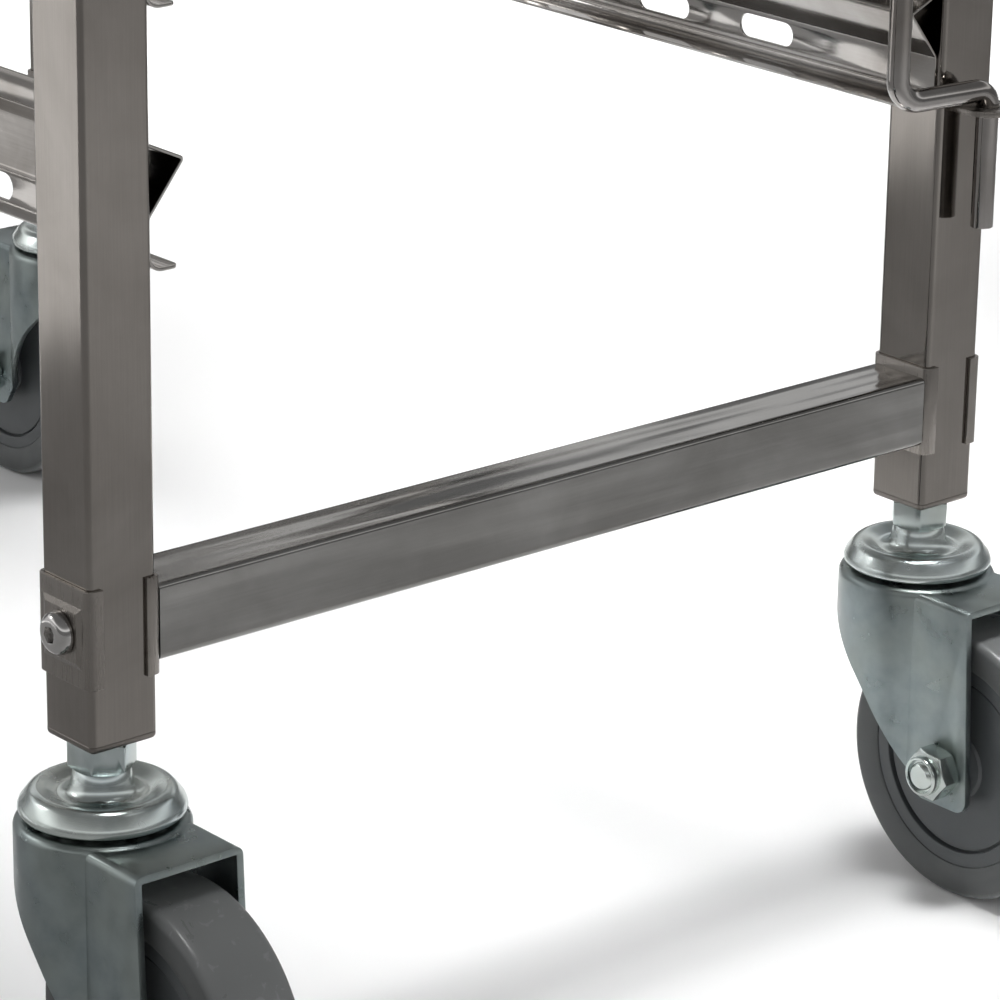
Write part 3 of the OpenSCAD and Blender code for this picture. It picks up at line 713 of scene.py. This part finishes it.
def rod(points, bends):
    """A round rod along a drawn line whose corners are bent round at the given radii."""
    line = drawn(points)
    for place, radius in zip(points[1:], bends):
        round_corners(line, [place], radius, 12)
    bpy.ops.object.mode_set(mode="OBJECT")
    bpy.ops.object.convert(target="CURVE")
    bar = bpy.context.object
    bar.data.bevel_depth = rod_r
    bar.data.bevel_resolution = 6
    bar.data.use_fill_caps = True
    bpy.ops.object.convert(target="MESH")
    bar = bpy.context.object
    edit(bar)
    bpy.ops.mesh.select_all(action="SELECT")
    bpy.ops.mesh.remove_doubles(threshold=0.002 * MM)
    return bar


frame_line = [
    pin_line + rise * (arm_low - pin_drop), pin_line + rise * arm_low, stop_line + rise * arm_low,
    stop_line + rise * arm_high, pin_line + rise * arm_high, pin_line + rise * (arm_high - pin_drop)]
stop_rod = rod(frame_line, [pin_bend, rod_bend, rod_bend, pin_bend])
for end_z in (frame_line[0].z, frame_line[5].z):
    pick(stop_rod, "FACE", lambda f: len(f.verts) > 8 and abs(middle(f).z - end_z) < 0.01 * MM)
    bpy.ops.mesh.inset(thickness=0.001 * MM)
    bpy.ops.mesh.select_more()
done(stop_rod)
break_edges(stop_rod, 0.7 * MM, 60, 3)
rod_steel = steel(
    "rod steel", steel_dark, (0.36, 0.345, 0.335), (900, 900, 60), dull=0.13, gloss=0.05, bump=0.03)
dress(stop_rod, "stop_rod", rod_steel, "pan_stop", ["pan_stop"])


# Castor lock nuts
# A zinc-plated M12 hexagon nut locks each castor's stem against its foot plate. Its corners are chamfered,
# and each nut stopped at its own turn when it was tightened.
nut_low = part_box("castor_lock_nuts")[0].z
nut_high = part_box("castor_lock_nuts")[1].z
nut_af = 19 * MM
run_gap = 0.06 * MM
nut_turn = {"front_left": 35, "front_right": 46.6, "rear_left": 12, "rear_right": 52}
# These two tones are a darker copy of the zinc, as painted shade for the forks' sides, which stand out of the
# light; the heads and nuts are given lighter copies of the same zinc, as painted light.
shaded_zinc_dark = (0.215, 0.252, 0.257)
shaded_zinc_pale = (0.285, 0.328, 0.333)

# Soft mottled bloom of zinc plating, and a slower change of tint. Size is in metres.
zinc_bloom, bloom_in, bloom_out = effect(
    "zinc bloom", [("Place", "place", None), ("Size", "value", 0.006)],
    [("Bloom", "value"), ("Tint", "value")])
bloom_per_metre = maths(zinc_bloom, "DIVIDE", 1.0, bloom_in.outputs["Size"])
wavering = node(zinc_bloom, "ShaderNodeTexNoise", [
    ("Vector", bloom_in.outputs["Place"]), ("Scale", bloom_per_metre), ("Detail", 3.0),
    ("Roughness", 0.5), ("Distortion", 0.1)])
tinting = node(zinc_bloom, "ShaderNodeTexNoise", [
    ("Vector", bloom_in.outputs["Place"]), ("Scale", 38.0), ("Detail", 1.5), ("Distortion", 0.2)])
zinc_bloom.links.new(spread(zinc_bloom, wavering.outputs[0], 0.32, 0.68), bloom_out.inputs["Bloom"])
zinc_bloom.links.new(spread(zinc_bloom, tinting.outputs[0], 0.4, 0.62), bloom_out.inputs["Tint"])


def zinc(name, dark, light, gloss, dull, size=6 * MM):
    """Bright zinc plating with a blue-green cast that turns slightly yellow in places."""
    made, tree, shader, place = material(name)
    bloom = place_effect(tree, zinc_bloom, [("Place", place), ("Size", size)])
    cloud = blend_colours(tree, bloom.outputs["Bloom"], dark, light)
    warm = tuple(c * k for c, k in zip(light, (1.04, 0.98, 0.86)))
    yellowed = maths(tree, "MULTIPLY", bloom.outputs["Tint"], 0.35)
    tree.links.new(blend_colours(tree, yellowed, cloud, warm), shader.inputs["Base Color"])
    tree.links.new(spread(tree, bloom.outputs["Bloom"], 0, 1, gloss, dull), shader.inputs["Roughness"])
    relief = node(tree, "ShaderNodeBump", [
        ("Strength", 0.02), ("Distance", 0.2 * MM), ("Height", bloom.outputs["Bloom"])])
    tree.links.new(relief.outputs[0], shader.inputs["Normal"])
    shader.inputs["Metallic"].default_value = 1.0
    return made


def hexagon(across, low, high, turn=0.0):
    """A hexagon across its flats with chamfered corners, about Z."""
    round_r = across / math.sqrt(3)
    chamfer = 0.6 * (round_r - across / 2)
    blank = rod_cutter((0, 0, (low + high) / 2), round_r, high - low, (0, 0, turn + math.pi / 6), 6)
    lens = turned([
        (across / 2 * 0.97, low - 0.01 * MM), (round_r * 1.001, low + chamfer),
        (round_r * 1.001, high - chamfer), (across / 2 * 0.97, high + 0.01 * MM)], 72)
    return cut(blank, lens, "INTERSECT")


nut_shapes = []
for corner in corners:
    nut = hexagon(nut_af, nut_low, nut_high, math.radians(nut_turn[corner]))
    cut(nut, rod_cutter((0, 0, (nut_low + nut_high) / 2), stem_radius + run_gap, 20 * MM, (0, 0, 0), 48))
    break_edges(nut, 0.25 * MM, 40)
    nut_shapes.append(laid(nut, Matrix.Identity(4), (axis_of[corner].x, axis_of[corner].y, 0)))
nut_zinc = zinc("nut zinc", (0.43, 0.49, 0.49), (0.57, 0.63, 0.63), 0.16, 0.24, 7 * MM)
dress(join(nut_shapes), "stem_lock_nuts", nut_zinc, "frame", ["castor_lock_nuts"], 25)


# Swivel heads
# A pressed ring with a raised crest that covers the balls, drawn up in the middle to a collar round the
# stem. Stem, ring and kingpin are riveted into one piece and zinc plated.
swivel_low, swivel_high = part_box("front_left_castor_head")
head_gap = 1.5 * MM
rim_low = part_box("front_left_castor_fork")[1].z + head_gap
collar_top = nut_low
kingpin_r = 8 * MM
kingpin_low = swivel_low.z
rim_r = 26.5 * MM
crest_z = collar_top - 6.3 * MM
crest_r = rim_r - 5.5 * MM
neck_r = 8.9 * MM
ring_round = 4.2 * MM
race_r = 20 * MM
rings = (
    [(stem_radius - 0.8 * MM, swivel_high.z), (stem_radius, swivel_high.z - 0.8 * MM)]
    + [(stem_radius, collar_top), (neck_r - 0.5 * MM, collar_top), (neck_r, collar_top - 0.4 * MM)]
    + [(neck_r + 0.6 * MM, collar_top - 3.3 * MM), (neck_r + 1 * MM, collar_top - 5 * MM)]
    + [(neck_r + 1.6 * MM, collar_top - 6.3 * MM), (neck_r + 2.4 * MM, collar_top - 7.3 * MM)]
    + [(neck_r + 3.6 * MM, collar_top - 8 * MM), (neck_r + 5.2 * MM, collar_top - 8.3 * MM)]
    + [(neck_r + 6.6 * MM, collar_top - 8.1 * MM), (crest_r - 4 * MM, crest_z - 0.9 * MM)]
    + arc((crest_r - 0.6 * MM, crest_z - ring_round), ring_round, 96, 28, 7)
    + [(rim_r - 0.6 * MM, rim_low + 3.6 * MM), (rim_r - 0.1 * MM, rim_low + 2.3 * MM)]
    + [(rim_r, rim_low + 1.4 * MM), (rim_r - 0.3 * MM, rim_low + 0.6 * MM)]
    + [(rim_r - 0.8 * MM, rim_low + 0.15 * MM), (rim_r - 1.4 * MM, rim_low)]
    + [(race_r + 3.6 * MM, rim_low), (race_r + 3.2 * MM, rim_low + 2.6 * MM), (race_r, rim_low + 4.9 * MM)]
    + [(race_r - 3.2 * MM, rim_low + 2.6 * MM), (race_r - 3.6 * MM, rim_low)]
    + [(kingpin_r, rim_low), (kingpin_r, kingpin_low + 0.5 * MM), (kingpin_r - 0.5 * MM, kingpin_low)])
swivel_head = turned(rings, 96)
# A lighter copy of the zinc, as painted light on the head's crest.
lit_head_zinc = zinc("head zinc", (0.46, 0.52, 0.525), (0.6, 0.66, 0.665), 0.2, 0.28, 12 * MM)
for corner in corners:
    dress(
        copy(swivel_head, (axis_of[corner].x, axis_of[corner].y, 0)), f"{corner}_swivel_head", lit_head_zinc,
        "frame", [f"{corner}_castor_head"], 40)
bpy.data.objects.remove(swivel_head)

# The balls and the washers under the crown are hidden in the head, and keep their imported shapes.
ball_steel = steel("ball steel", steel_light, (0.7, 0.7, 0.7), (500, 500, 500), dull=0.16, gloss=0.06)
finish_cad(["swivel_balls"], ball_steel)
race_zinc = zinc("race zinc", shaded_zinc_dark, shaded_zinc_pale, 0.3, 0.42)
finish_cad(["lower_races"], race_zinc)


# Forks
# Each fork is one pressing of 2.5 mm steel, zinc plated. It has a round skirt under the head with a raised
# seat, and two flat sides bent down from the crown, which slope back to a foot below the axle.
fork_t = 2.5 * MM
fork_bend = 3 * MM
skirt_r = 28 * MM
skirt_h = 13 * MM
seat_h = 1.2 * MM
fork_half = 20.5 * MM
fork_lean = 4 * MM
foot_round = 5 * MM
fork_toe = 12.5 * MM
fork_foot = 14 * MM
fork_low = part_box("front_left_castor_fork")[0].z
crown_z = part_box("front_left_castor_fork")[1].z
axle_z = fork_low + fork_foot
axle_bore = 5.06 * MM
fork_reach = axis_of["front_left"].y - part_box("front_left_castor_fork")[0].y
trail = fork_reach - fork_toe
window_half = 14 * MM
window_drop = 8 * MM


def along_x(part):
    """True for an edge that runs along X."""
    return abs((part.verts[0].co - part.verts[1].co).x) > MM


def pressing(inset):
    """The solid at a depth below the fork's skin: a round drum about Z and a straight run along +X."""
    bend = max(fork_bend - inset, 0.5 * MM)
    drum_r, half, floor_z = skirt_r - inset, fork_half - inset, fork_low - 2 * MM
    drum_top, run_top = crown_z - inset, crown_z - inset - seat_h
    drum = turned([(drum_r, floor_z), *arc((drum_r - bend, drum_top - bend), bend, 0, 90, 6)], 96)
    run = start(
        bpy.ops.mesh.primitive_cube_add, size=1, location=(fork_reach / 2, 0, (floor_z + run_top) / 2),
        scale=(fork_reach + 2 * inset, 2 * half, run_top - floor_z))
    pick(run, "EDGE", lambda e: level_edge(run_top)(e) and along_x(e))
    bpy.ops.mesh.bevel(offset=bend, segments=6, affect="EDGES")
    return cut(drum, done(run), "UNION")


fork_plate = pressing(0)
edit(fork_plate)
pick(fork_plate, "EDGE", lambda e: level_edge(crown_z - seat_h)(e) and all(
    abs(v.co.xy.length - skirt_r) < 1.2 * MM and v.co.x > 0 for v in e.verts))
bpy.ops.mesh.bevel(offset=0.9 * MM, segments=4, affect="EDGES")
done(fork_plate)
cut(fork_plate, pressing(fork_t))

knee = (0.04 * trail, axle_z + 0.38 * (crown_z - axle_z))
slope_foot = (trail - 11.2 * MM, fork_low)
toe_foot = (fork_reach + 0.27 * MM, fork_low)
outline = [
    (-skirt_r - MM, crown_z + MM), (-skirt_r - MM, crown_z - skirt_h), (-0.82 * skirt_r, crown_z - skirt_h),
    knee, slope_foot, toe_foot, (fork_reach - fork_lean, crown_z + MM)]
outline = [(x, -skirt_r - MM, z) for x, z in outline]
side_view = drawn(outline)
round_corners(side_view, outline[2:4], 5 * MM, 5)
round_corners(side_view, outline[4:5], foot_round * math.tan(math.radians(29)), 6)
round_corners(side_view, outline[5:6], foot_round * math.tan(math.radians(46.6)), 8)
bpy.ops.mesh.select_all(action="SELECT")
bpy.ops.mesh.edge_face_add()
pull(side_view, (0, 2 * skirt_r + 2 * MM, 0))
cut(fork_plate, done(side_view), "INTERSECT")
window = start(
    bpy.ops.mesh.primitive_cube_add, size=1, location=(-skirt_r, 0, (crown_z - fork_t - window_drop) / 2),
    scale=(2 * skirt_r - 2 * MM, 2 * window_half, crown_z - fork_t - window_drop))
pick(window, "EDGE", lambda e: all(v.co.z > axle_z for v in e.verts) and along_x(e))
bpy.ops.mesh.bevel(offset=5 * MM, segments=5, affect="EDGES")
cut(fork_plate, done(window))
cut(fork_plate, rod_cutter((trail, 0, axle_z), axle_bore, 3 * fork_half, (math.pi / 2, 0, 0), 48))
cut(fork_plate, rod_cutter((0, 0, crown_z), kingpin_r + run_gap, 20 * MM, (0, 0, 0), 48))
break_edges(fork_plate, 0.3 * MM, 48)


def fitted(shape, corner, mirror=(1, 1, 1)):
    """A castor's piece copied to its corner and turned to point out of the rack."""
    return copy(shape, (axis_of[corner].x, axis_of[corner].y, 0), end_of[corner] * math.pi / 2, mirror)


# A darker copy of the zinc, as painted shade on the fork's sides.
shaded_fork_zinc = zinc("fork zinc", shaded_zinc_dark, shaded_zinc_pale, 0.26, 0.44, 9 * MM)
for corner in corners:
    dress(
        fitted(fork_plate, corner), f"{corner}_fork_plate", shaded_fork_zinc, f"{corner}_swivel",
        [f"{corner}_castor_fork"], 35)
bpy.data.objects.remove(fork_plate)


# Axles
# A zinc-plated M10 bolt through the fork, with its head on the outside and a lock nut towards the middle of
# the rack. The nut's round collar stands round a recess, in which the bolt's end nearly reaches the rim.
axle_r = 5 * MM
axle_af = 17 * MM
axle_head = 6 * MM
nut_body = 8 * MM
nut_h = 11 * MM
axle_tip = 0.3 * MM
collar_r = 7.2 * MM
recess_r = 6 * MM
recess = 1.5 * MM
tip_z = fork_half + nut_h + axle_tip
bolt = turned([
    (axle_r, -fork_half + 0.2 * MM), (axle_r, tip_z - 1.7 * MM), (axle_r - 0.45 * MM, tip_z - 1.35 * MM),
    (axle_r - 0.05 * MM, tip_z - 0.9 * MM), (axle_r - 0.7 * MM, tip_z - 0.2 * MM),
    (axle_r - 1 * MM, tip_z)], 48)
bolt_head = hexagon(axle_af, -fork_half - axle_head, -fork_half, math.radians(20))
break_edges(bolt_head, 0.25 * MM, 40)
lock_body = hexagon(axle_af, fork_half, fork_half + nut_body, math.radians(8))
break_edges(lock_body, 0.2 * MM, 40)
collar_bore = axle_r + 0.08 * MM
collar_edge = 0.6 * MM
collar_low = fork_half + nut_body - 0.5 * MM
collar_high = fork_half + nut_h
lock_collar = turned(
    [(collar_bore, collar_low), (collar_r, collar_low)]
    + arc((collar_r - collar_edge, collar_high - collar_edge), collar_edge, 0, 90, 4)
    + [(recess_r + 0.2 * MM, collar_high), (recess_r, collar_high - 0.25 * MM)]
    + [(recess_r, collar_high - recess), (collar_bore, collar_high - recess), (collar_bore, collar_low)],
    48, joined=True)
axle = join([bolt, bolt_head, lock_body, lock_collar])
laid(axle, Matrix.Rotation(-math.pi / 2, 4, "X"), (trail, 0, axle_z))
for corner in corners:
    flip = 1 if side_of[corner] * end_of[corner] > 0 else -1
    dress(
        fitted(axle, corner, (1, flip, 1)), f"{corner}_axle_bolt", nut_zinc, f"{corner}_swivel",
        [f"{corner}_castor_axle"], 30)
bpy.data.objects.remove(axle)
finish_cad([f"{corner}_castor_sleeve" for corner in corners], foot_steel)


# Wheel hubs
# Grey moulded centres, each with a boss that runs on the sleeve, a smooth flat disc, a narrow groove round it
# and a rim that the tyre is bonded to.
hub_r = 38 * MM
hub_bore = 7.06 * MM
boss_r = hub_bore + 4 * MM
boss_half = 17.4 * MM
disc_half = 12.5 * MM
rim_half = 13.5 * MM
groove_out = 33 * MM
groove_in = 32 * MM
groove_deep = 1.5 * MM
edge = 0.3 * MM


def both_sides(half):
    """A section drawn for one side, carried on to the other side in mirrored order."""
    return half + [(r, -z) for r, z in reversed(half)]


hub_half = (
    [(hub_bore, boss_half - edge), (hub_bore + edge, boss_half), (boss_r - edge, boss_half)]
    + [(boss_r, boss_half - edge), (boss_r + 0.6 * MM, disc_half + 1 * MM)]
    + [(boss_r + 1.6 * MM, disc_half), (groove_in - edge, disc_half), (groove_in, disc_half - edge)]
    + [(groove_in, disc_half - groove_deep), (groove_out, disc_half - groove_deep)]
    + [(groove_out, rim_half - edge), (groove_out + edge, rim_half), (hub_r, rim_half)])
hub = turned(both_sides(hub_half) + [hub_half[0]], 96, joined=True)
laid(hub, Matrix.Rotation(math.pi / 2, 4, "X"), (trail, 0, axle_z))
hub_plastic = moulded("hub plastic", (0.058, 0.064, 0.067), (0.076, 0.082, 0.085), 0.42, 0.7 * MM, 0.08)
for corner in corners:
    dress(
        fitted(hub, corner), f"{corner}_wheel_hub", hub_plastic, f"{corner}_wheel",
        [f"{corner}_castor_hub"], 35)
bpy.data.objects.remove(hub)


# Tyres
# Solid grey rubber, bonded to the hub, with a nearly flat tread and rounded shoulders. The tread is polished
# by rolling and carries a few pale scuffs. The tread is painted lighter as painted light, and the sides
# darker as painted shade.
wheel_r = 50 * MM
tyre_half = 15 * MM
shoulder = 3.5 * MM
tyre_side = [
    (hub_r, rim_half - 0.3 * MM), (hub_r + 0.3 * MM, rim_half + 0.35 * MM),
    (hub_r + 1.2 * MM, rim_half + 0.8 * MM), (hub_r + 4 * MM, tyre_half - 0.15 * MM)]
tyre_shoulder = arc((wheel_r - shoulder, tyre_half - shoulder), shoulder, 82, 12, 6)
tread = [(wheel_r - 0.05 * MM, tyre_half - 5.5 * MM), (wheel_r, tyre_half - 8 * MM)]
tyre_section = tyre_side + tyre_shoulder + tread
tyre = turned(both_sides(tyre_section) + [tyre_section[0]], 128, joined=True)
laid(tyre, Matrix.Rotation(math.pi / 2, 4, "X"), (trail, 0, axle_z))


def rubber(name, shaded_side_tone, lit_tread_tone, axle_of):
    """Grey tyre rubber about an axle along X: a side darkened as painted shade, a tread polished by rolling
    and lightened as painted light, and pale scuffs.
    """
    made, tree, shader, place = material(name)
    from_axle = place_maths(tree, "SUBTRACT", place, axle_of)
    in_plane = place_maths(tree, "MULTIPLY", from_axle, (0, 1, 1))
    radius = node(tree, "ShaderNodeVectorMath", [(0, in_plane)], operation="LENGTH").outputs["Value"]
    on_tread = spread(tree, radius, wheel_r - 2.4 * MM, wheel_r - 0.4 * MM)
    patch = place_effect(tree, soft_patches, [("Place", place), ("Size", 0.012)]).outputs["Patch"]
    scuff = place_effect(tree, soft_patches, [("Place", place), ("Size", 0.004)]).outputs["Patch"]
    # The tread is painted lighter and the sides darker: painted light and painted shade for how they face the
    # lamps.
    tone = blend_colours(tree, on_tread, shaded_side_tone, lit_tread_tone)
    scuffed = maths(tree, "MULTIPLY", spread(tree, scuff, 0.8, 1.0), on_tread)
    pale = tuple(c * 1.5 for c in lit_tread_tone)
    faint = maths(tree, "MULTIPLY", scuffed, 0.45)
    tree.links.new(blend_colours(tree, faint, tone, pale), shader.inputs["Base Color"])
    rolled = spread(tree, on_tread, 0, 1, 0.5, 0.32)
    worn = spread(tree, patch, 0, 1, -0.05, 0.1)
    tree.links.new(maths(tree, "ADD", rolled, worn), shader.inputs["Roughness"])
    relief = node(tree, "ShaderNodeBump", [("Strength", 0.1), ("Distance", 0.15 * MM), ("Height", scuff)])
    tree.links.new(relief.outputs[0], shader.inputs["Normal"])
    return made


# The sides' grey is darkened as painted shade, and the tread's grey is lightened as painted light.
shaded_side_grey = (0.08, 0.085, 0.085)
lit_tread_grey = (0.18, 0.187, 0.187)
for corner in corners:
    wheel_axle = (axis_of[corner].x, axis_of[corner].y + end_of[corner] * trail, axle_z)
    tyre_rubber = rubber(f"tyre rubber {corner.replace('_', ' ')}", shaded_side_grey, lit_tread_grey, wheel_axle)
    dress(
        fitted(tyre, corner), f"{corner}_wheel_tyre", tyre_rubber, f"{corner}_wheel",
        [f"{corner}_castor_tyre"], 35)
bpy.data.objects.remove(tyre)


# Floor and light
# A plain pale floor with soft panels over it, and a dim room round them with a bright band and a bright
# doorway.
bpy.ops.object.select_all(action="DESELECT")
bpy.ops.mesh.primitive_plane_add(size=14, location=(0, 0, 0))
floor = bpy.context.object
floor.name = "floor"
floor_paint = bpy.data.materials.new("floor paint")
floor_paint.use_nodes = True
floor_shader = floor_paint.node_tree.nodes["Principled BSDF"]
floor_shader.inputs["Base Color"].default_value = (0.9, 0.9, 0.9, 1)
floor_shader.inputs["Roughness"].default_value = 0.8
floor_shader.inputs["Specular IOR Level"].default_value = 0.1
floor.data.materials.append(floor_paint)


def panel(name, place, aim, size, watts, beam):
    """A soft rectangular light at a place, turned to a point, with its beam kept within an angle."""
    light = bpy.data.lights.new(name, "AREA")
    light.shape = "RECTANGLE"
    light.size, light.size_y = size
    light.energy = watts
    light.spread = math.radians(beam)
    lamp = bpy.data.objects.new(name, light)
    bpy.context.scene.collection.objects.link(lamp)
    lamp.location = place
    lamp.rotation_euler = (Vector(aim) - Vector(place)).to_track_quat("-Z", "Y").to_euler()


# Two panels whiten the floor under the rack and behind it. A low one lights the floor behind on the left,
# which the left faces of the uprights show above a sharp edge. One lights the floor in front, and a far
# window gives the rack its soft shadow.
panel("top light", (0.27, -0.1, 1.35), (0.27, -0.1, 0), (0.74, 0.72), 2.0, 26)
panel("back light", (0.9, 0.85, 1.5), (0.9, 0.85, 0), (1.2, 1.2), 5.5, 36)
panel("left light", (-1.05, 0.9, 0.3), (-1.05, 0.9, 0), (1.3, 0.9), 4.5, 24)
panel("front light", (0.5, -1.25, 1.1), (0.5, -1.25, 0), (1.0, 1.0), 1.7, 80)
panel("window", (-1.9, 2.4, 2.1), (0, 0, 0.3), (0.6, 0.6), 6, 150)

# The room has a dim lower wall, a band of windows at the height that level steel reflects, a dim ceiling, and
# a doorway behind on the left that brightens rounded edges.
room = bpy.data.worlds.new("room")
bpy.context.scene.world = room
room.use_nodes = True
room_tree = room.node_tree
direction = node(room_tree, "ShaderNodeTexCoord").outputs["Generated"]
height = node(room_tree, "ShaderNodeSeparateXYZ", [("Vector", direction)]).outputs["Z"]
walls = node(room_tree, "ShaderNodeValToRGB", [("Fac", height)])
wall_levels = ((0.05, 0.2), (0.285, 0.22), (0.315, 0.95), (0.43, 1.0), (0.52, 0.38), (0.66, 0.22))
for place, level in wall_levels:
    walls.color_ramp.elements.new(place).color = (level, level, level, 1)
walls.color_ramp.elements[0].color = (0.25, 0.25, 0.25, 1)
walls.color_ramp.elements[-1].color = (0.2, 0.2, 0.2, 1)
towards = node(room_tree, "ShaderNodeVectorMath", [
    (0, direction), (1, (-0.68, 0.71, 0.17))], operation="DOT_PRODUCT").outputs["Value"]
doorway = spread(room_tree, towards, 0.8, 0.93, 0, 0.55)
glow = node(room_tree, "ShaderNodeCombineColor", [(0, doorway), (1, doorway), (2, doorway)]).outputs[0]
background = room_tree.nodes["Background"]
room_tree.links.new(
    blend_colours(room_tree, 1.0, walls.outputs["Color"], glow, "ADD"), background.inputs["Color"])
background.inputs["Strength"].default_value = 1.0
bpy.context.scene.view_settings.view_transform = "Standard"
